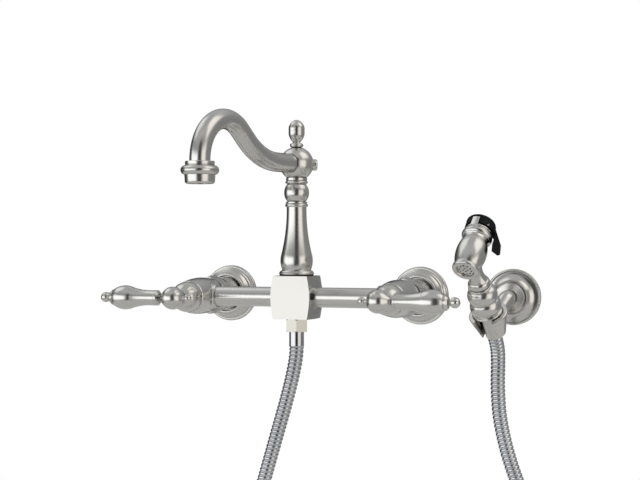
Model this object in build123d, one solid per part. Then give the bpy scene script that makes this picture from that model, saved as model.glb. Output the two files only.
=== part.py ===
from build123d import *
import math
import os

# A wall-mounted bridge kitchen faucet with a hand sprayer hanging in a wall holder.
# Millimetres. The origin is on the wall, midway between the two supply inlets and
# level with them. +X runs along the wall to the user's right, +Y goes into the wall
# and +Z is up, so the user stands on the -Y side.

# ---------------------------------------------------------------- driving dimensions
inlet_spacing = 203.2        # eight inches between the two supply inlets
tube_depth = 76.2            # wall to the axis of the bridge tube
tube_r = 9.525               # bridge tube, three quarters of an inch across
tube_bore_r = 8.0
hub_depth = 137.7            # wall to the axis of the lever handles
block_x, block_y, block_z = 40.0, 37.0, 41.0
supply_r = 10.3              # half-inch pipe thread in each inlet shank
supply_thread_depth = 15.0

body_back = 58.0             # valve body, measured out from the wall
body_front = 103.0
chamber_floor = 67.6         # where the ceramic discs sit
chamber_r = 12.5
hub_r = 10.8

riser_base = 22.0            # underside of the turning spout, above the tube axis
riser_top = 114.2
ball_r = 16.3
spout_level = 127.8          # height of the spout root and of the ball's centre
spout_reach = 161.0
spout_rise_angle = 38.0
spout_turned = 10.0          # the spout rests turned this far to the left
spout_r = 9.1
spout_bore_r = 7.3
root_bend_r = 85.0
arch_bend_r = 38.5
arch_centre_z = 123.5
nozzle_bottom = 103.4
plug_turned = 125.0         # the ball's side plug, round from the spout's direction

holder_x = 194.3             # the sprayer's holder, right of the faucet
holder_turned = 9.0          # the sprayer rests facing this far to the left
handle_lean = 37.0           # lean of the sprayer's handle away from the wall
cup_reach, cup_level = 59.0, -19.6
face_reach, face_level = 116.9, 27.8
head_lean = 42.0             # angle between the spray head's axis and the vertical
handle_bottom = -17.4        # along the handle, from the middle of the holder's cup
cup_bottom, cup_top = -16.0, 9.0
arm_r = 7.6
neck_start = 50.0
lever_turned = -70.0         # the thumb lever's tail, round the head from its back
lever_pin_offset = 7.5       # the lever's pin, beside the head's axis, towards the tail

hose_r = 6.9
hose_top = -48.0             # where the hose leaves its ferrule under the block

Y_TUBE = -tube_depth
UP = (0, 0, 1)

os.makedirs("parts", exist_ok=True)


# ------------------------------------------------------------------------- helpers
def lathe(start, *steps):
    """Turn an outline of (radius, height) points about Z. A step of two numbers is
    a straight side; a step of four is an arc through its first point to its second."""
    edges = []
    here = start
    for step in steps + (start,):
        there = step[-2:]
        ends = [Vector(here[0], 0, here[1]), Vector(there[0], 0, there[1])]
        if len(step) == 4:
            edges.append(ThreePointArc(ends[0], Vector(step[0], 0, step[1]), ends[1]))
        elif (ends[1] - ends[0]).length > 1e-6:
            edges.append(Line(*ends))
        here = there
    return revolve(Face(Wire(edges)), axis=Axis.Z, revolution_arc=360)


def rod(r, z0, z1):
    return Pos(0, 0, (z0 + z1) / 2) * Cylinder(r, z1 - z0)


def ring(r_out, r_in, z0, z1):
    return rod(r_out, z0, z1) - rod(r_in, z0 - 1, z1 + 1)


def hexagon_bar(across_flats, z0, z1, chamfer, turned=0.0):
    """A hexagon nut blank with turned corners."""
    corner = across_flats / 2 / math.cos(math.pi / 6)
    bar = extrude(Pos(0, 0, z0) * Rot(0, 0, turned) * RegularPolygon(corner, 6), z1 - z0)
    blank = lathe((0, z0), (corner - chamfer, z0), (corner, z0 + chamfer),
                  (corner, z1 - chamfer), (corner - chamfer, z1), (0, z1))
    return bar & blank


def spring(r, wire_r, z0, z1, turns):
    """A helical spring, its coil centred on Z."""
    height = z1 - z0 - 2 * wire_r
    path = Helix(height / turns, height, r)
    coil = sweep(Plane(path @ 0, z_dir=path % 0) * Circle(wire_r), path=path)
    return Pos(0, 0, z0 + wire_r) * coil


def save(name, shape):
    shape.label = name
    export_step(shape, f"parts/{name}.step")


def pair(*solids):
    return Compound(children=[s.solid() for s in solids])


# ---------------------------------------------------------------- valves and levers
def outward(x):
    """Local Z runs straight out from the wall at this x; local X stays world X."""
    return Plane(origin=(x, 0, 0), x_dir=(1, 0, 0), z_dir=(0, -1, 0)).location


def wall_flange():
    shell = lathe((28.5, 0), (28.5, 1.6), (28.1, 3.0, 26.6, 3.6), (23.0, 7.2, 20.6, 12.6),
                  (20.1, 14.6, 18.9, 15.0), (18.0, 14.5, 17.9, 13.6), (17.9, 10.5), (16.8, 10.5),
                  (16.8, 37.0), (13.1, 37.0), (13.1, 3.5), (19.2, 3.5), (21.5, 7.0, 24.6, 2.0),
                  (25.5, 0))
    return shell


def inlet_shank():
    outer = lathe((supply_r, 0), (13.0, 0), (13.0, 43.0), (14.3, 43.0), (14.3, 47.0), (7.5, 47.0),
                  (7.5, supply_thread_depth + 2.5), (supply_r, supply_thread_depth))
    return outer


def union_nut():
    blank = hexagon_bar(33.0, 38.5, 57.6, 1.6, 30)
    return blank - rod(13.2, 38, 43) - rod(14.8, 43, 58)


def union_washer():
    return ring(14.0, 8.0, 47.0, 49.0)


def valve_body(side):
    """The valve's turned body, with a boss at its side for the bridge tube."""
    barrel = lathe((0, 49.0), (14.8, 49.0), (14.8, body_back), (16.5, body_back),
                   (17.75, 78.0, 15.2, 102.2), (14.6, body_front), (0, body_front))
    boss = lathe((0, 3.0), (13.6, 3.0), (13.6, 13.2), (11.4, 14.6, 11.1, 16.4), (11.9, 17.0),
                 (11.9, 18.6), (11.4, 19.0), (0, 19.0))
    chamber = lathe((0, 48.0), (8.0, 48.0), (8.0, chamber_floor), (chamber_r, chamber_floor),
                    (chamber_r, body_front + 1), (0, body_front + 1))
    along = Plane(origin=(0, 0, tube_depth), z_dir=(-side, 0, 0)).location
    body = barrel + along * boss - chamber
    return body - along * rod(tube_bore_r, 6.0, 15.0) - along * rod(tube_r, 13.6, 20.0)


def cartridge_body():
    shell = lathe((9.4, chamber_floor), (12.2, chamber_floor), (12.2, 98.0), (4.3, 98.0),
                  (4.3, 79.4), (7.4, 79.4), (7.4, 75.4), (9.4, 75.4))
    ports = Pos(0, 0, 72.4) * Rot(0, 90, 0) * Cylinder(2.6, 40)
    return shell - ports


def ceramic_disc(z0, z1, opening):
    """A ceramic disc with two quarter-round water ways."""
    disc = rod(9.1, z0, z1)
    for half in (0, 180):
        sector = Pos(0, 0, z0 - 1) * Rot(0, 0, half + opening) * Cylinder(
            7.2, z1 - z0 + 2, arc_size=80, align=(Align.NONE, Align.NONE, Align.MIN))
        disc -= sector - rod(2.4, z0 - 2, z1 + 2)
    return disc


def spindle():
    return lathe((0, 75.3), (7.1, 75.3), (7.1, 79.2), (4.0, 79.2), (4.0, 132.9), (0, 132.9))


def bonnet():
    return lathe((4.4, 98.0), (12.3, 98.0), (12.3, body_front), (14.4, body_front),
                 (14.6, 104.6), (13.1, 113.6, 7.2, 121.2), (6.9, 124.4), (4.4, 124.4))


def along_lever(side):
    """Local Z runs from the hub's centre out along the lever."""
    return Plane(origin=(0, 0, hub_depth), z_dir=(side, 0, 0)).location


def handle_hub(side):
    turned = lathe((0, -19.2), (3.8, -15.4, 2.0, -12.17), (2.0, -10.61),
                   (hub_r, 0, 8.9, 6.12), (3.2, 12.4), (2.6, 12.9), (0, 12.9))
    stem = rod(6.4, 124.9, 132.0)
    grub_hole = Pos(0, -7.5, 129.0) * Rot(90, 0, 0) * Cylinder(2.0, 9.0)
    return (along_lever(side) * turned) + stem - rod(4.15, 124, 133.2) - grub_hole


def grub_screw():
    """Fixes the hub on its spindle, from underneath."""
    screw = Pos(0, -6.15, 129.0) * Rot(90, 0, 0) * Cylinder(1.9, 4.0)
    socket = extrude(RegularPolygon(1.1, 6), 2.5, both=True)
    return screw - Pos(0, -8.0, 129.0) * Rot(90, 0, 0) * socket


def lever_grip(side):
    turned = lathe((0, 12.9), (2.6, 12.9), (2.6, 13.7), (5.2, 13.7), (7.3, 15.2), (7.3, 16.6),
                   (6.9, 16.9), (6.9, 17.5), (7.3, 17.8), (7.2, 21.0), (7.65, 31.6, 9.7, 41.4),
                   (11.45, 50.6, 7.9, 61.0), (6.9, 61.5), (6.9, 62.1), (7.3, 62.4), (7.3, 63.2),
                   (5.6, 65.0), (2.0, 65.8), (2.0, 66.33), (4.9, 70.8, 0.6, 75.66), (0, 75.7))
    return along_lever(side) * turned


def make_valve(side, name):
    """One supply leg with its valve and lever; side is -1 on the left, 1 on the right."""
    here = outward(side * inlet_spacing / 2)
    save(f"wall_flange_{name}", here * wall_flange())
    save(f"inlet_shank_{name}", here * inlet_shank())
    save(f"union_nut_{name}", here * union_nut())
    save(f"valve_body_{name}", here * valve_body(side))
    save(f"bonnet_{name}", here * bonnet())
    save(f"cartridge_body_{name}", here * cartridge_body())
    save(f"fixed_disc_{name}", here * ceramic_disc(chamber_floor, 72.0, 0))
    save(f"moving_disc_{name}", here * ceramic_disc(72.1, 75.2, 90))
    save(f"spindle_{name}", here * spindle())
    save(f"handle_hub_{name}", here * handle_hub(side))
    save(f"handle_screw_{name}", here * grub_screw())
    save(f"lever_grip_{name}", here * lever_grip(side))


# ------------------------------------------------------------ bridge tube and block
def bridge_tube(side):
    inner_end, outer_end = block_x / 2 - 6, inlet_spacing / 2 - 13.6
    along = Plane(origin=(0, Y_TUBE, 0), z_dir=(side, 0, 0)).location
    return along * ring(tube_r, tube_bore_r, inner_end, outer_end)


def centre_block():
    """A square bar with its two ends turned to a shallow cone."""
    half = block_x / 2
    flat_r, corner_r = 17.5, 28.5
    turned = lathe((0, -half), (flat_r, -half), (corner_r, 3 - half), (corner_r, half - 3),
                   (flat_r, half), (0, half))
    along = Rot(0, 90, 0)
    block = Box(block_x, block_y, block_z) & (along * turned)
    for side in (-1, 1):
        end = Plane(origin=(0, 0, 0), z_dir=(side, 0, 0)).location
        block += end * ring(11.0, tube_r, half, half + 1.6)
        block -= end * rod(tube_r, half - 6, half + 3)
    block -= along * Cylinder(tube_bore_r, block_x)
    block -= rod(9.0, 8.0, 25.0) + rod(7.6, -14.0, 9.0) + rod(7.0, -25.0, -12.0)
    return Pos(0, Y_TUBE, 0) * block


def spout_nipple():
    """Screwed into the block; the spout turns on it."""
    turned = lathe((6.0, 8.2), (9.0, 8.2), (9.0, 20.5), (8.2, 20.5), (8.2, 36.0), (7.2, 36.4),
                   (7.2, 38.4), (8.2, 38.8), (8.2, 43.0), (6.0, 43.0))
    return Pos(0, Y_TUBE, 0) * turned


def swivel_gasket():
    return Pos(0, Y_TUBE, 0) * ring(16.3, 9.2, 20.5, 21.8)


def diverter_piston():
    turned = lathe((0, -16.0), (4.5, -16.0), (4.5, 1.5), (7.0, 1.5), (7.0, 4.0), (5.2, 4.6), (0, 4.6))
    return Pos(0, Y_TUBE, 0) * turned


def diverter_spring():
    return Pos(0, Y_TUBE, 0) * spring(6.0, 0.6, -11.8, 1.3, 5)


def hose_connector():
    turned = lathe((4.8, -34.0), (6.2, -34.0), (6.2, -22.0), (8.4, -22.0), (8.4, -20.5),
                   (7.0, -20.5), (7.0, -12.0), (4.8, -12.0))
    return Pos(0, Y_TUBE, 0) * turned


def hose_nut():
    blank = hexagon_bar(19.6, -33.0, -20.9, 1.1, 50)
    hollow = rod(8.6, -22.3, -20) + rod(6.4, -33.5, -22.0)
    return Pos(0, Y_TUBE, 0) * (blank - hollow)


def hose_ferrule():
    turned = lathe((4.8, hose_top), (6.7, hose_top), (7.1, -46.5), (7.1, -33.2), (6.4, -33.2),
                   (6.4, -34.2), (4.8, -34.2))
    return Pos(0, Y_TUBE, 0) * turned


# ------------------------------------------------------------------------ the spout
def spout_frame():
    """Local X runs along the spout, seen from above, and local Z is up."""
    turned = math.radians(spout_turned)
    return Plane(origin=(0, Y_TUBE, 0), x_dir=(-math.sin(turned), -math.cos(turned), 0),
                 z_dir=UP).location


def riser_column():
    turned = lathe((8.5, riser_base), (16.7, riser_base), (16.9, 22.6, 16.6, 23.2),
                   (15.6, 25.0, 14.0, 25.8), (13.9, 26.3), (15.55, 34.8, 14.87, 40.4),
                   (10.93, 61.2, 9.5, 82.0), (9.5, 86.3),
                   (10.3, 86.5), (11.0, 88.0, 10.3, 89.5), (9.8, 89.8), (10.3, 90.1), (10.3, 91.2),
                   (8.7, 91.5), (12.0, 99.8, 8.9, 108.4), (10.2, 108.9), (10.8, 110.1, 10.2, 111.3),
                   (9.6, 111.6), (10.2, 112.0), (10.2, riser_top), (6.0, riser_top), (6.0, 45.0),
                   (8.5, 45.0))
    return Pos(0, Y_TUBE, 0) * turned


def spout_ball():
    root_hole = Plane(origin=(0, 0, spout_level), z_dir=(1, 0, 0)).location
    ball = Pos(0, 0, spout_level) * Sphere(ball_r)
    ball -= Pos(0, 0, riser_top - 10) * Box(60, 60, 20)
    ball -= rod(6.0, riser_top - 1, spout_level)
    ball -= root_hole * rod(spout_bore_r, 0, 12) + root_hole * rod(spout_r, 10, 20)
    ball -= root_hole * rod(spout_r + 0.4, 12.4, 20)
    ball -= plug_place() * rod(3.0, 8, 20)
    ball -= rod(3.0, 139.0, 150.0) + rod(8.0, 143.7, 150.0)
    return spout_frame() * ball


def spout_path(start):
    corner_z = spout_level + (spout_reach - first_corner()) * math.tan(math.radians(spout_rise_angle))
    return FilletPolyline((start, 0, spout_level), (first_corner(), 0, spout_level),
                          (spout_reach, 0, corner_z), (spout_reach, 0, 112.0),
                          radius=[root_bend_r, arch_bend_r])


def first_corner():
    """Where the level root line meets the rising line, from the arch's centre."""
    rise = math.radians(spout_rise_angle)
    on_line_s = spout_reach - arch_bend_r - arch_bend_r * math.sin(rise)
    on_line_z = arch_centre_z + arch_bend_r * math.cos(rise)
    return on_line_s - (on_line_z - spout_level) / math.tan(rise)


def spout_tube():
    path = spout_path(10.0)
    section = Plane(path @ 0, z_dir=path % 0)
    tube = sweep(section * Circle(spout_r), path=path) - sweep(section * Circle(spout_bore_r), path=path)
    return spout_frame() * tube


def at_nozzle(shape):
    return spout_frame() * Pos(spout_reach, 0, 0) * shape


def nozzle_collar():
    turned = lathe((spout_r, 123.0), (12.4, 123.0), (12.8, 122.6), (12.8, 120.4), (12.4, 119.8),
                   (13.9, 119.0), (16.7, 115.2, 13.9, 111.4), (10.6, 111.4), (10.6, 111.9),
                   (spout_r, 111.9))
    return at_nozzle(turned)


def aerator_housing():
    turned = lathe((10.4, 111.3), (13.4, 111.3), (13.0, 106.2), (12.5, 104.2, 10.9, nozzle_bottom),
                   (9.2, nozzle_bottom), (9.2, 105.0), (10.4, 105.0))
    return at_nozzle(turned)


def aerator_screen():
    disc = rod(10.3, 105.1, 107.6)
    for count, r in ((6, 2.9), (12, 5.8), (16, 8.2)):
        for hole in PolarLocations(r, count):
            disc -= hole * rod(0.7, 104, 109)
    return at_nozzle(disc)


def finial():
    turned = lathe((0, 139.4), (2.9, 139.4), (2.9, 143.8), (5.6, 143.8), (6.5, 145.6, 5.6, 147.2),
                   (3.9, 147.6), (3.6, 148.6), (6.7, 152.9, 7.65, 159.6), (5.9, 166.6, 1.4, 169.8),
                   (0, 170.0))
    return Pos(0, Y_TUBE, 0) * turned


def plug_place():
    """Local Z runs out of the ball through its side plug."""
    turned = math.radians(plug_turned)
    return Plane(origin=(0, 0, spout_level - 1),
                 z_dir=(math.cos(turned), math.sin(turned), 0)).location


def side_plug():
    """Closes the cross-drilling on the right-hand side of the ball."""
    turned = lathe((0, 10.0), (2.9, 10.0), (2.9, 15.3), (5.2, 15.3), (5.5, 16.2), (5.4, 18.4),
                   (4.7, 19.5, 3.6, 19.8), (0, 19.8))
    cap = plug_place() * turned
    ball = Pos(0, 0, spout_level) * Sphere(ball_r)
    stud = plug_place() * rod(2.9, 10, 16)
    return spout_frame() * ((cap - ball) + (cap & stud))


# ----------------------------------------------------------------- holder and cup
def sprayer_frame():
    """Local X points away from the wall the way the sprayer faces; local Z is up."""
    turned = math.radians(holder_turned)
    return Plane(origin=(holder_x, 0, 0), x_dir=(-math.sin(turned), -math.cos(turned), 0),
                 z_dir=UP).location


def handle_frame():
    """Origin in the middle of the cup, local Z up along the handle."""
    lean = math.radians(handle_lean)
    local = Plane(origin=(cup_reach, 0, cup_level), x_dir=(math.cos(lean), 0, -math.sin(lean)),
                  z_dir=(math.sin(lean), 0, math.cos(lean))).location
    return sprayer_frame() * local


def head_frame():
    """Origin at the spray face, local Z up along the head, local X to its back."""
    lean = math.radians(head_lean)
    local = Plane(origin=(face_reach, 0, face_level), x_dir=(-math.cos(lean), 0, -math.sin(lean)),
                  z_dir=(-math.sin(lean), 0, math.cos(lean))).location
    return sprayer_frame() * local


def holder_flange():
    turned = lathe((27.0, 0), (27.0, 2.0), (26.6, 3.5, 25.0, 3.8), (24.3, 3.2), (23.8, 3.4),
                   (17.8, 6.6, 15.0, 12.4), (13.6, 12.8), (13.6, 14.0), (12.1, 14.2), (12.1, 15.3),
                   (10.7, 15.5), (10.7, 16.6), (9.2, 16.8), (9.2, 18.0), (6.2, 18.4), (6.2, 13.0),
                   (8.0, 11.0), (13.2, 10.0), (15.8, 5.2, 22.0, 1.6), (24.0, 0))
    return outward(holder_x) * turned


def holder_plate():
    plate = lathe((0, 0), (19.5, 0), (19.5, 2.4), (6.0, 2.4), (6.0, 7.8), (0, 7.8))
    for z in (-12.0, 12.0):
        plate -= Pos(0, z, 0) * Cylinder(2.3, 20)
    return outward(holder_x) * plate


def holder_arm():
    """A round arm, straight out of the flange and then down to the back of the cup."""
    target = (handle_frame() * Pos(-13.0, 0, -5.0)).position
    path = FilletPolyline((holder_x, -18.6, 0), (holder_x, -29.0, 0), tuple(target), radius=9.0)
    arm = sweep(Plane(path @ 0, z_dir=path % 0) * Circle(arm_r), path=path)
    collar = outward(holder_x) * rod(6.1, 8.0, 20.4)
    return arm + collar - handle_frame() * (cup_outer() + rod(13.5, cup_bottom - 10, 40))


def cup_outer():
    return lathe((0, cup_bottom), (10.6, cup_bottom), (11.6, cup_bottom + 1.0), (18.0, cup_top - 1.4),
                 (18.0, cup_top - 0.5), (17.3, cup_top), (0, cup_top))


def holder_cup():
    """A conical cup, slotted at the front so that the hose can be passed in."""
    bore = lathe((0, cup_bottom - 1), (8.3, cup_bottom - 1), (14.9, cup_top + 1), (0, cup_top + 1))
    slot = Pos(20, 0, 0) * Box(40, 17.4, 80)
    return handle_frame() * (cup_outer() - bore - slot)


# ---------------------------------------------------------------------- the sprayer
def sprayer_handle():
    turned = lathe((7.1, handle_bottom), (7.6, handle_bottom), (9.2, 9.3), (13.2, 9.3),
                   (14.0, 10.5, 13.2, 11.6), (12.7, 11.9), (14.6, 18.2, 12.5, 24.6), (12.3, 25.0),
                   (12.5, 25.4), (13.9, 32.0, 10.2, 38.8), (10.6, 39.2), (11.1, 40.2, 10.5, 41.2),
                   (4.2, 41.2), (4.2, 2.0), (7.1, 0.0))
    return handle_frame() * turned


def hose_swivel():
    """The hose's end fitting, which turns inside the bottom of the handle."""
    return handle_frame() * ring(6.8, 4.6, handle_bottom, -0.4)


def neck_path():
    start = Vector(cup_reach, 0, cup_level) + neck_start * lean_vector(handle_lean)
    end = Vector(face_reach, 0, face_level) + 25.0 * lean_vector(-head_lean)
    return TangentArc(start, end, tangent=lean_vector(handle_lean))


def lean_vector(degrees):
    angle = math.radians(degrees)
    return Vector(math.sin(angle), 0, math.cos(angle))


def sprayer_head():
    """The curved neck and the barrel of the spray head, cast in one piece."""
    bell = handle_frame() * lathe((0, 41.3), (9.6, 41.3), (10.3, 44.6, 8.8, 47.6),
                                  (7.2, 52.0, 6.4, neck_start + 6.0), (0, neck_start + 6.0))
    path = neck_path()
    start = Plane(path @ 0, z_dir=path % 0)
    neck = sprayer_frame() * sweep(start * Circle(6.4), path=path)
    way = sprayer_frame() * sweep(start * Circle(4.2), path=path)
    barrel = head_frame() * lathe(
        (0, 3.6), (10.4, 3.6), (10.7, 4.2), (10.9, 4.4), (14.0, 18.5, 11.7, 33.5), (11.7, 36.2),
        (12.3, 36.8), (14.2, 39.6, 13.0, 42.6), (12.4, 43.0), (12.4, 44.0), (9.4, 44.0), (9.4, 51.0),
        (0, 51.0))
    cavity = head_frame() * lathe(
        (0, 3), (9.0, 3), (9.0, 15.0), (3.2, 16.5), (3.2, 20.0), (5.2, 20.0), (5.2, 30), (2.3, 30),
        (2.3, 34), (5.4, 34), (5.4, 47), (2.3, 47), (2.3, 52), (0, 52))
    pin_hole = head_frame() * lever_pin_place() * Cylinder(1.3, 40)
    head = bell + neck + barrel
    return head - way - handle_frame() * rod(4.2, 40, neck_start) - cavity - pin_hole


def face_ring():
    return head_frame() * lathe((8.1, 0.2), (8.4, -0.6), (10.6, -1.0), (12.0, -0.2, 12.2, 1.2),
                                (12.1, 2.6, 11.0, 3.4), (8.1, 3.4))


def spray_face():
    disc = lathe((0, 0.4), (5.5, 0.5), (8.0, 1.2), (8.0, 3.0), (0, 3.0))
    for count, r in ((4, 2.0), (10, 5.4)):
        for hole in PolarLocations(r, count):
            disc -= hole * rod(0.75, -1, 4)
    return head_frame() * disc


def end_cap():
    """A metal ring under the thumb lever, with a tongue standing up at the front."""
    base = ring(12.9, 9.6, 44.1, 45.0)
    tongue = ring(13.3, 12.1, 44.1, 53.5) & Pos(-13.0, 0, 49.0) * Box(8, 6.8, 12)
    return head_frame() * (base + tongue)


def lever_pin_place():
    """The lever's pin crosses the head beside its axis, on the tail's side."""
    return Rot(0, 0, lever_turned) * Pos(lever_pin_offset, 0, 48.5) * Rot(90, 0, 0)


def lever_pin():
    return head_frame() * lever_pin_place() * Cylinder(1.2, 21.4)


def thumb_lever():
    """A black cap over the end of the head with a tail beside the barrel."""
    cap = lathe((11.5, 46.6), (13.5, 46.6), (13.6, 53.0), (12.9, 56.6, 9.5, 57.4), (0, 57.8),
                (0, 55.2), (11.5, 55.2))
    cap -= Pos(-13.0, 0, 48.0) * Box(8, 9.0, 13)
    cap -= lever_pin_place() * Cylinder(1.28, 40)
    outline = Polyline((11.8, 52.0), (13.5, 52.0), (24.0, 32.6), (23.2, 30.0), (20.6, 29.6),
                       (15.9, 32.0), (15.9, 44.5), (13.3, 46.7), (11.8, 46.7), close=True)
    tail = extrude(Plane.XZ * make_face(outline), 5.2, both=True)
    tail = Rot(0, 0, lever_turned) * tail
    tail += Rot(0, 0, lever_turned) * Pos(22.0, 0, 31.2) * Rot(90, 0, 0) * Cylinder(2.2, 10.4)
    return head_frame() * (cap + (tail - rod(12.2, 40, 54)))


def spray_valve_stem():
    """Its foot closes the seat above the spray face; pressing the lever lifts it."""
    return head_frame() * lathe((0, 20.2), (4.4, 20.2), (4.4, 22.6), (2.0, 23.4), (2.0, 34.6), (3.2, 34.7),
                                (3.2, 35.8), (2.0, 36.0), (2.0, 54.6), (0, 54.6))


def stem_spring():
    return head_frame() * spring(3.6, 0.45, 37.1, 46.8, 5)


# ------------------------------------------------------------------------- the hose
# The hose hangs from its ferrule under the block in one wide loop and rises to the
# sprayer's handle. The points were chosen by hand, in millimetres.
hose_route = [
    (0.0, -76.2, -48.0), (0.0, -76.2, -58.0), (-8.0, -77.0, -93.0), (-27.0, -79.0, -158.0),
    (-52.0, -82.0, -248.0), (-76.0, -84.0, -345.0), (-62.0, -83.0, -440.0), (12.0, -78.0, -505.0),
    (108.0, -70.0, -523.0), (200.0, -60.0, -492.0), (256.0, -50.0, -416.0), (260.0, -42.0, -322.0),
    (234.0, -38.0, -234.0), (202.0, -35.0, -166.0), (188.4, -32.5, -118.0), (185.8, -31.0, -84.0),
    (187.0, -33.0, -60.0)]


def hose_end():
    """Where the hose meets the sprayer's handle, and a point straight below it."""
    end = (handle_frame() * Pos(0, 0, handle_bottom)).position
    below = (handle_frame() * Pos(0, 0, handle_bottom - 14.0)).position
    return below, end


def spray_hose():
    below, end = hose_end()
    points = [Vector(*p) for p in hose_route] + [below, end]
    radii = []
    for before, corner, after in zip(points, points[1:], points[2:]):
        a, b = corner - before, after - corner
        turn = math.radians(a.get_angle(b))
        radii.append(0.45 * min(a.length, b.length) / math.tan(turn / 2))
    path = FilletPolyline(*points, radius=radii)
    hose = sweep(Plane(path @ 0, z_dir=path % 0) * Circle(hose_r), path=path)
    print("hose runs", [round((b - a).length) for a, b in zip(points, points[1:])])
    print("hose radii", [round(r) for r in radii])
    print("hose length", round(path.length, 1), "volume ratio",
          round(hose.volume / (math.pi * hose_r ** 2 * path.length), 4))
    print("hose end points", tuple(round(c, 1) for c in below), tuple(round(c, 1) for c in end))
    return hose


# --------------------------------------------------------------------------- build
make_valve(-1, "left")
make_valve(1, "right")
save("union_washers", pair(outward(-inlet_spacing / 2) * union_washer(),
                           outward(inlet_spacing / 2) * union_washer()))
save("bridge_tube_left", bridge_tube(-1))
save("bridge_tube_right", bridge_tube(1))
save("centre_block", centre_block())
save("spout_nipple", spout_nipple())
save("swivel_gasket", swivel_gasket())
save("diverter_piston", diverter_piston())
save("diverter_spring", diverter_spring())
save("hose_connector", hose_connector())
save("hose_nut", hose_nut())
save("hose_ferrule", hose_ferrule())
save("riser_column", riser_column())
save("spout_ball", spout_ball())
save("spout_tube", spout_tube())
save("nozzle_collar", nozzle_collar())
save("aerator_housing", aerator_housing())
save("aerator_screen", aerator_screen())
save("finial", finial())
save("side_plug", side_plug())
save("holder_flange", holder_flange())
save("holder_plate", holder_plate())
save("holder_arm", holder_arm())
save("holder_cup", holder_cup())
save("sprayer_handle", sprayer_handle())
save("hose_swivel", hose_swivel())
save("sprayer_head", sprayer_head())
save("face_ring", face_ring())
save("spray_face", spray_face())
save("end_cap", end_cap())
save("lever_pin", lever_pin())
save("thumb_lever", thumb_lever())
save("spray_valve_stem", spray_valve_stem())
save("stem_spring", stem_spring())
save("spray_hose", spray_hose())
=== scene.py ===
import math

import bmesh
import bpy
from mathutils import Matrix, Vector


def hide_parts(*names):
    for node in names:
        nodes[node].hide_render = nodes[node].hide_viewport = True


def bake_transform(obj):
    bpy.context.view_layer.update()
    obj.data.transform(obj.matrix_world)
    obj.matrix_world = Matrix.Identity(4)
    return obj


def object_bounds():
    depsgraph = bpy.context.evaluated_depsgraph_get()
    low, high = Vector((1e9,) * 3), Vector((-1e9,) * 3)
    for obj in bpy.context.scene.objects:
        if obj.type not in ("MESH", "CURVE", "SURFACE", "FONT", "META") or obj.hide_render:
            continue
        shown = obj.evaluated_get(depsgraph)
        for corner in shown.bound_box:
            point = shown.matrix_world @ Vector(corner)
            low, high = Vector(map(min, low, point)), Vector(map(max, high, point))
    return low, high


# A wall-mounted bridge faucet with a hand sprayer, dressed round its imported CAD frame.
# Metres, in the frame's own axes: +X to the user's right, +Y into the wall, +Z up.

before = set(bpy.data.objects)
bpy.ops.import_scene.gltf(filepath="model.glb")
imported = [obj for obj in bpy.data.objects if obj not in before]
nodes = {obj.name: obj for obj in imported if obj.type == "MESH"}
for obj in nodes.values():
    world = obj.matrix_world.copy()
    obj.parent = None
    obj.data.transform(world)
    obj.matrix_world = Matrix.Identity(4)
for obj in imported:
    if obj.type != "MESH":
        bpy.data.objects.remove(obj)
cad_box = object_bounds()

MM = 0.001
FACING = math.radians(9.0)           # the sprayer faces this far to the left of straight ahead
HANDLE_LEAN = math.radians(37.0)
HEAD_LEAN = math.radians(42.0)


# -------------------------------------------------------------------------- camera
def make_camera():
    data = bpy.data.cameras.new("camera")
    data.lens = 79.24
    data.sensor_width = 36.0
    data.clip_start = 0.05
    camera = bpy.data.objects.new("camera", data)
    camera.location = (0.4872, -1.3368, 0.0576)
    camera.rotation_euler = (math.radians(89.88), 0.0, math.radians(20.18))
    bpy.context.scene.collection.objects.link(camera)
    bpy.context.scene.camera = camera


# ------------------------------------------------------------------------ the hose
HOSE_RADIUS = 6.9 * MM
HOSE_PITCH = 3.9 * MM                # one turn of the wound metal strip
HOSE_GROOVE = 1.0 * MM               # how deep the seam lies between two turns
HOSE_BEAD = 0.6                      # below 1, the turns are flatter on top than a half circle
HOSE_SIDES = 28
SAMPLES_PER_TURN = 8
HOSE_ROUTE = [                       # the same points as the CAD tube's, in metres
    (0.0, -0.0762, -0.0480), (0.0, -0.0762, -0.0580), (-0.0080, -0.0770, -0.0930),
    (-0.0270, -0.0790, -0.1580), (-0.0520, -0.0820, -0.2480), (-0.0760, -0.0840, -0.3450),
    (-0.0620, -0.0830, -0.4400), (0.0120, -0.0780, -0.5050), (0.1080, -0.0700, -0.5230),
    (0.2000, -0.0600, -0.4920), (0.2560, -0.0500, -0.4160), (0.2600, -0.0420, -0.3220),
    (0.2340, -0.0380, -0.2340), (0.2020, -0.0350, -0.1660), (0.1884, -0.0325, -0.1180),
    (0.1858, -0.0310, -0.0840), (0.1870, -0.0330, -0.0600), (0.1880, -0.0396, -0.0447),
    (0.1867, -0.0479, -0.0335)]


def smooth_line(name, points):
    """Points along the NURBS curve that has these control points, in order."""
    data = bpy.data.curves.new(name, "CURVE")
    data.dimensions = "3D"
    data.resolution_u = 24
    spline = data.splines.new("NURBS")
    spline.points.add(len(points) - 1)
    for point, place in zip(spline.points, points):
        point.co = (*place, 1.0)
    spline.order_u = 3
    spline.use_endpoint_u = True
    curve = bpy.data.objects.new(name, data)
    bpy.context.scene.collection.objects.link(curve)
    bpy.context.view_layer.update()
    evaluated = curve.evaluated_get(bpy.context.evaluated_depsgraph_get())
    mesh = bpy.data.meshes.new_from_object(evaluated)
    line = [v.co.copy() for v in mesh.vertices]
    bpy.data.meshes.remove(mesh)
    bpy.data.objects.remove(curve)
    return line


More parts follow.
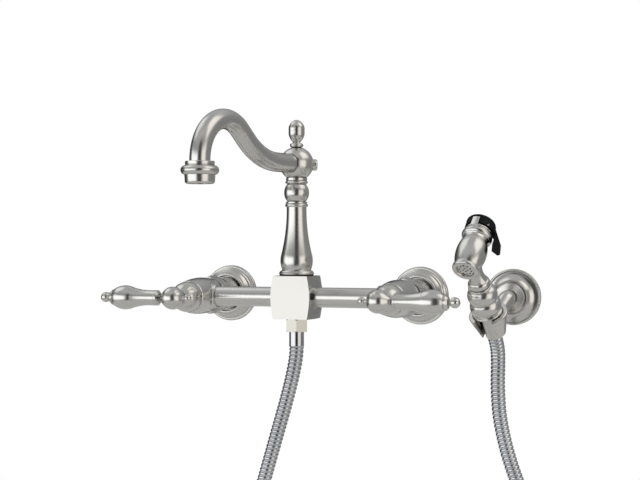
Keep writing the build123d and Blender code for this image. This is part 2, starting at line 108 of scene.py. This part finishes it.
def resample(line, step):
    """Evenly spaced points on a line, about a step apart, and the exact spacing."""
    lengths = [(b - a).length for a, b in zip(line, line[1:])]
    total = sum(lengths)
    count = max(2, round(total / step))
    spacing = total / count
    points, segment, passed = [], 0, 0.0
    for i in range(count + 1):
        target = i * spacing
        while segment < len(lengths) - 1 and passed + lengths[segment] < target:
            passed += lengths[segment]
            segment += 1
        share = min(1.0, (target - passed) / lengths[segment])
        points.append(line[segment].lerp(line[segment + 1], share))
    return points, spacing


def tube_along(points, radius_at, sides):
    """A bmesh tube along points; radius_at(i, angle) gives each vertex's radius."""
    bm = bmesh.new()
    side = None
    rings = []
    for i, here in enumerate(points):
        ahead = (points[min(i + 1, len(points) - 1)] - points[max(i - 1, 0)]).normalized()
        if side is None:
            side = ahead.orthogonal().normalized()
        side = (side - ahead * side.dot(ahead)).normalized()
        other = ahead.cross(side)
        ring = []
        for k in range(sides):
            angle = 2 * math.pi * k / sides
            out = side * math.cos(angle) + other * math.sin(angle)
            ring.append(bm.verts.new(here + out * radius_at(i, angle)))
        rings.append(ring)
    for a, b in zip(rings, rings[1:]):
        for k in range(sides):
            n = (k + 1) % sides
            bm.faces.new((a[k], a[n], b[n], b[k]))
    bm.faces.new(reversed(rings[0]))
    bm.faces.new(rings[-1])
    return bm


def finish_mesh(name, bm):
    """Turns a bmesh into a smooth-shaded object in the scene."""
    bmesh.ops.recalc_face_normals(bm, faces=bm.faces)
    mesh = bpy.data.meshes.new(name)
    bm.to_mesh(mesh)
    bm.free()
    for polygon in mesh.polygons:
        polygon.use_smooth = True
    made = bpy.data.objects.new(name, mesh)
    bpy.context.scene.collection.objects.link(made)
    return made


def make_hose():
    """A wound metal hose along its route, following the sprayer at its far end."""
    points, spacing = resample(smooth_line("hose_line", HOSE_ROUTE), HOSE_PITCH / SAMPLES_PER_TURN)

    def radius_at(i, angle):
        phase = (i * spacing / HOSE_PITCH - angle / (2 * math.pi)) % 1.0
        bead = math.sin(math.pi * phase) ** HOSE_BEAD
        return HOSE_RADIUS - HOSE_GROOVE * (1.0 - bead)

    hose = finish_mesh("hose", tube_along(points, radius_at, HOSE_SIDES))
    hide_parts("spray_hose")
    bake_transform(hose)
    return hose


# ----------------------------------------------------------------------- materials
class Nodes:
    """A few short names for building one node tree."""

    def __init__(self, name):
        self.material = bpy.data.materials.new(name)
        self.material.use_nodes = True
        self.tree = self.material.node_tree
        self.shader = self.tree.nodes["Principled BSDF"]

    def add(self, kind, **settings):
        node = self.tree.nodes.new(kind)
        for key, value in settings.items():
            if key in node.inputs:
                node.inputs[key].default_value = value
            else:
                setattr(node, key, value)
        return node

    def link(self, out, into):
        self.tree.links.new(out, into)

    def place(self, turned=(0.0, 0.0, 0.0), scale=(1.0, 1.0, 1.0)):
        """The point in the object's own space, turned and then stretched."""
        where = self.add("ShaderNodeTexCoord")
        turn = self.add("ShaderNodeMapping", vector_type="TEXTURE")
        turn.inputs["Rotation"].default_value = turned
        stretch = self.add("ShaderNodeMapping")
        stretch.inputs["Scale"].default_value = scale
        self.link(where.outputs["Object"], turn.inputs["Vector"])
        self.link(turn.outputs["Vector"], stretch.inputs["Vector"])
        return stretch.outputs["Vector"]

    def noise(self, vector, scale, detail=3.0, roughness=0.5):
        node = self.add("ShaderNodeTexNoise", Scale=scale, Detail=detail, Roughness=roughness)
        self.link(vector, node.inputs["Vector"])
        return node.outputs["Fac"]

    def spread(self, value, low, high, from_low=0.3, from_high=0.7):
        node = self.add("ShaderNodeMapRange")
        for key, number in (("From Min", from_low), ("From Max", from_high),
                            ("To Min", low), ("To Max", high)):
            node.inputs[key].default_value = number
        self.link(value, node.inputs["Value"])
        return node.outputs["Result"]

    def mix_colour(self, factor, first, second, blend="MIX"):
        node = self.add("ShaderNodeMix", data_type="RGBA", blend_type=blend)
        for socket, value in ((node.inputs[0], factor), (node.inputs[6], first),
                              (node.inputs[7], second)):
            if isinstance(value, bpy.types.NodeSocket):
                self.link(value, socket)
            else:
                socket.default_value = value if isinstance(value, float) else (*value, 1.0)
        return node.outputs[2]

    def bump(self, height, strength, distance):
        node = self.add("ShaderNodeBump", Strength=strength, Distance=distance)
        self.link(height, node.inputs["Height"])
        self.link(node.outputs["Normal"], self.shader.inputs["Normal"])

    def set(self, **values):
        for key, value in values.items():
            socket = self.shader.inputs[key.replace("_", " ")]
            if isinstance(value, bpy.types.NodeSocket):
                self.link(value, socket)
            else:
                socket.default_value = (*value, 1.0) if isinstance(value, tuple) else value

    def painted_crease_shade(self, reach):
        """How open the surface is to its surroundings: 1 in the open, less in a fold; it is used
        to paint shade into folds and seams as colour.
        """
        node = self.add("ShaderNodeAmbientOcclusion", samples=16)
        node.inputs["Distance"].default_value = reach
        return node.outputs["AO"]


def turned_metal(name, colour, dark, roughness, axis_turn, brushed=0.015, shade_reach=3.0,
                 stretch=(40.0, 40.0, 2600.0)):
    """Metal brushed round its turning axis: the fine lines run across the local Z axis."""
    n = Nodes(name)
    broad = n.noise(n.place(), scale=28.0, detail=4.0)
    lines = n.noise(n.place(axis_turn, stretch), scale=1.0, detail=4.0, roughness=0.6)
    tint = n.mix_colour(n.spread(broad, 0.0, 1.0), colour, dark)
    # painted shade: the tint turns towards a deep grey where ambient occlusion finds corners,
    # folds and seams between parts, within the given reach in millimetres
    tint_with_painted_shade = n.mix_colour(n.spread(n.painted_crease_shade(shade_reach * MM), 0.0, 1.0, 0.05, 0.55),
                           tuple(0.3 * c for c in dark), tint)
    n.set(Base_Color=tint_with_painted_shade, Metallic=1.0,
          Roughness=n.spread(lines, roughness - 0.01, roughness + 0.02))
    n.bump(lines, strength=brushed, distance=0.03 * MM)
    return n.material


def moulded(name, colour, roughness, grain, coat=0.0, specular=0.5):
    """Moulded plastic or rubber with a faint grain."""
    n = Nodes(name)
    fine = n.noise(n.place(), scale=grain, detail=5.0)
    broad = n.noise(n.place(), scale=60.0, detail=2.0)
    darker = tuple(0.7 * c for c in colour)
    n.set(Base_Color=n.mix_colour(n.spread(broad, 0.0, 1.0), colour, darker), Metallic=0.0,
          Roughness=n.spread(fine, roughness, roughness + 0.08),
          Coat_Weight=coat, Coat_Roughness=0.06, Specular_IOR_Level=specular)
    n.bump(fine, strength=0.08, distance=0.05 * MM)
    return n.material


NICKEL, NICKEL_DARK = (0.68, 0.67, 0.645), (0.65, 0.64, 0.615)
ALONG_X = (0.0, math.radians(90.0), 0.0)
ALONG_Y = (math.radians(90.0), 0.0, 0.0)
ALONG_Z = (0.0, 0.0, 0.0)
ALONG_HANDLE = (HANDLE_LEAN, 0.0, -FACING)
ALONG_HEAD = (-HEAD_LEAN, 0.0, -FACING)


def make_materials():
    satin = {key: turned_metal(f"satin_nickel_{key}", NICKEL, NICKEL_DARK, 0.22, turn)
             for key, turn in (("x", ALONG_X), ("y", ALONG_Y), ("z", ALONG_Z),
                               ("handle", ALONG_HANDLE), ("head", ALONG_HEAD))}
    satin["bent"] = turned_metal("satin_nickel_bent", NICKEL, NICKEL_DARK, 0.22, ALONG_Z, 0.005,
                                 stretch=(900.0, 900.0, 900.0))
    return {
        **satin,
        "block": turned_metal("block_nickel", (0.57, 0.56, 0.535), (0.55, 0.54, 0.515), 0.12,
                              ALONG_X, 0.01),
        "nut": turned_metal("nut_nickel", (0.52, 0.50, 0.46), (0.48, 0.46, 0.42), 0.16, ALONG_Z),
        "hose": turned_metal("hose_steel", (0.60, 0.61, 0.63), (0.52, 0.53, 0.56), 0.18, ALONG_Z,
                             0.02, 1.6),
        "chrome": turned_metal("polished_chrome", (0.62, 0.62, 0.63), (0.55, 0.55, 0.57), 0.12,
                               ALONG_Z, 0.03),
        "brass": turned_metal("machined_brass", (0.72, 0.53, 0.25), (0.60, 0.42, 0.19), 0.28,
                              ALONG_Y),
        "steel": turned_metal("drawn_steel", (0.52, 0.52, 0.52), (0.42, 0.42, 0.43), 0.3, ALONG_Z),
        "ceramic": moulded("ceramic", (0.85, 0.84, 0.80), 0.12, 900.0, 0.3),
        "white_plastic": moulded("white_plastic", (0.78, 0.78, 0.75), 0.4, 700.0),
        "black": moulded("black_plastic", (0.004, 0.005, 0.007), 0.42, 420.0, 0.0, 0.16),
        "rubber": moulded("rubber", (0.018, 0.018, 0.018), 0.55, 900.0)}


MATERIAL_OF = {
    "x": ["lever_grip_left", "lever_grip_right", "handle_hub_left", "handle_hub_right",
          "bridge_tube_left", "bridge_tube_right"],
    "block": ["centre_block"],
    "y": ["wall_flange_left", "wall_flange_right", "union_nut_left", "union_nut_right",
          "valve_body_left", "valve_body_right", "bonnet_left", "bonnet_right",
          "holder_flange", "holder_arm"],
    "bent": ["spout_tube", "spout_ball"],
    "z": ["riser_column", "nozzle_collar", "aerator_housing", "finial", "side_plug"],
    "nut": ["hose_nut"],
    "handle": ["holder_cup", "sprayer_handle"],
    "head": ["sprayer_head", "face_ring", "spray_face", "end_cap"],
    "chrome": ["hose_ferrule", "hose_swivel"],
    "brass": ["inlet_shank_left", "inlet_shank_right", "cartridge_body_left",
              "cartridge_body_right", "spindle_left", "spindle_right", "spout_nipple",
              "hose_connector", "holder_plate", "spray_valve_stem"],
    "steel": ["handle_screw_left", "handle_screw_right", "diverter_spring", "aerator_screen",
              "lever_pin", "stem_spring"],
    "ceramic": ["fixed_disc_left", "fixed_disc_right", "moving_disc_left", "moving_disc_right"],
    "white_plastic": ["diverter_piston"],
    "black": ["thumb_lever"],
    "rubber": ["union_washers", "swivel_gasket"]}


def dress(obj, material):
    """Gives an object this one material."""
    obj.data.materials.clear()
    obj.data.materials.append(material)


# --------------------------------------------------------------------- surroundings
# how bright the room is from straight down, 0, to straight up, 1
BACKGROUND = [(0.0, 0.30), (0.36, 0.30), (0.5, 0.27), (0.62, 0.32), (0.80, 0.56), (1.0, 0.46)]
# (azimuth, half width, height, half height, soft edge, strength), colour
PANELS = [((-39.0, 31.0, 0.0, 10.0, 12.0, 1.30), (0.99, 1.0, 1.0)),
          ((65.0, 15.0, 0.0, 14.0, 14.0, 0.95), (1.0, 0.955, 0.87)),
          ((-98.0, 26.0, 50.0, 13.0, 9.0, 0.55), (0.97, 0.99, 1.0)),
          ((98.0, 26.0, 50.0, 16.0, 9.0, 0.80), (1.0, 0.95, 0.86))]
GAPS = [(21.0, 11.0, 0.0, 36.0, 9.0, 0.85), (-128.0, 32.0, 0.0, 18.0, 14.0, 0.80)]
DEGREES = 57.2958                    # in one radian


def make_world():
    """A studio all round, worked out from the direction of each ray: a wide white light
    to the left, a cream one to the right, a dark gap between them, and a dark back."""
    world = bpy.data.worlds.new("studio")
    bpy.context.scene.world = world
    world.use_nodes = True
    tree = world.node_tree
    tree.nodes.clear()

    def add(kind, *inputs, **settings):
        node = tree.nodes.new(kind)
        for key, value in settings.items():
            setattr(node, key, value)
        for socket, value in zip(node.inputs, inputs):
            if isinstance(value, bpy.types.NodeSocket):
                tree.links.new(value, socket)
            elif value is not None:
                socket.default_value = value
        return node

    def maths(operation, *inputs):
        return add("ShaderNodeMath", *inputs, operation=operation).outputs[0]

    where = add("ShaderNodeTexCoord").outputs["Generated"]
    x, y, z = add("ShaderNodeSeparateXYZ", where).outputs
    # degrees to the right of straight ahead of the wall, and degrees above the horizon
    azimuth = maths("MULTIPLY", maths("ARCTAN2", x, maths("MULTIPLY", y, -1.0)), DEGREES)
    height = maths("MULTIPLY", maths("ARCSINE", z), DEGREES)

    def window(value, middle, half, soft):
        """1 within half of the middle, falling to 0 over the soft edge."""
        away = maths("ABSOLUTE", maths("SUBTRACT", value, middle))
        node = add("ShaderNodeMapRange", away, half, half + soft, 1.0, 0.0,
                   interpolation_type="SMOOTHSTEP")
        return node.outputs[0]

    def panel(azimuth_middle, azimuth_half, height_middle, height_half, soft, strength):
        across = window(azimuth, azimuth_middle, azimuth_half, soft)
        up = window(height, height_middle, height_half, soft)
        return maths("MULTIPLY", maths("MULTIPLY", across, up), strength)

    def blended(how, first, second):
        """Two lights added or multiplied; the second may be a plain colour."""
        node = add("ShaderNodeMix", data_type="RGBA", blend_type=how)
        node.inputs[0].default_value = 1.0
        for socket, value in ((node.inputs[6], first), (node.inputs[7], second)):
            if isinstance(value, bpy.types.NodeSocket):
                tree.links.new(value, socket)
            else:
                socket.default_value = (*value, 1.0)
        return node.outputs[2]

    share = add("ShaderNodeMapRange", height, -90.0, 90.0, 0.0, 1.0).outputs[0]
    ramp = add("ShaderNodeValToRGB", share)
    stops = ramp.color_ramp.elements
    for at in BACKGROUND[1:-1]:
        stops.new(at[0])
    for stop, (at, grey) in zip(stops, BACKGROUND):
        stop.position = at
        stop.color = (0.985 * grey, 0.995 * grey, grey, 1.0)
    light = ramp.outputs[0]
    for parts, colour in PANELS:
        light = blended("ADD", light, blended("MULTIPLY", panel(*parts), colour))
    for gap in GAPS:
        light = blended("MULTIPLY", light, maths("SUBTRACT", 1.0, panel(*gap)))
    studio = add("ShaderNodeBackground", light, 1.0).outputs[0]
    paper = add("ShaderNodeBackground", (1.0, 1.0, 1.0, 1.0), 1.0).outputs[0]
    seen = add("ShaderNodeLightPath").outputs["Is Camera Ray"]
    mixed = add("ShaderNodeMixShader", seen, studio, paper).outputs[0]
    output = add("ShaderNodeOutputWorld")
    tree.links.new(mixed, output.inputs["Surface"])


FLOOR_HALF = 1.3
FLOOR_GAP = 0.02


def make_floor():
    """A pale floor just below the hose's loop."""
    bm = bmesh.new()
    bmesh.ops.create_grid(bm, x_segments=1, y_segments=1, size=FLOOR_HALF)
    floor = finish_mesh("floor", bm)
    floor.location = (0.0, 0.0, cad_box[0].z - FLOOR_GAP)
    n = Nodes("pale_floor")
    mottle = n.spread(n.noise(n.place(), scale=4.0), 0.0, 1.0)
    n.set(Base_Color=n.mix_colour(mottle, (0.93, 0.93, 0.92), (0.90, 0.90, 0.89)), Roughness=0.9)
    dress(floor, n.material)


# --------------------------------------------------------------------------- build
bpy.context.scene.view_settings.view_transform = "Standard"
make_camera()
hose = make_hose()
materials = make_materials()
for key, names in MATERIAL_OF.items():
    for node in names:
        dress(nodes[node], materials[key])
dress(hose, materials["hose"])
make_world()
make_floor()
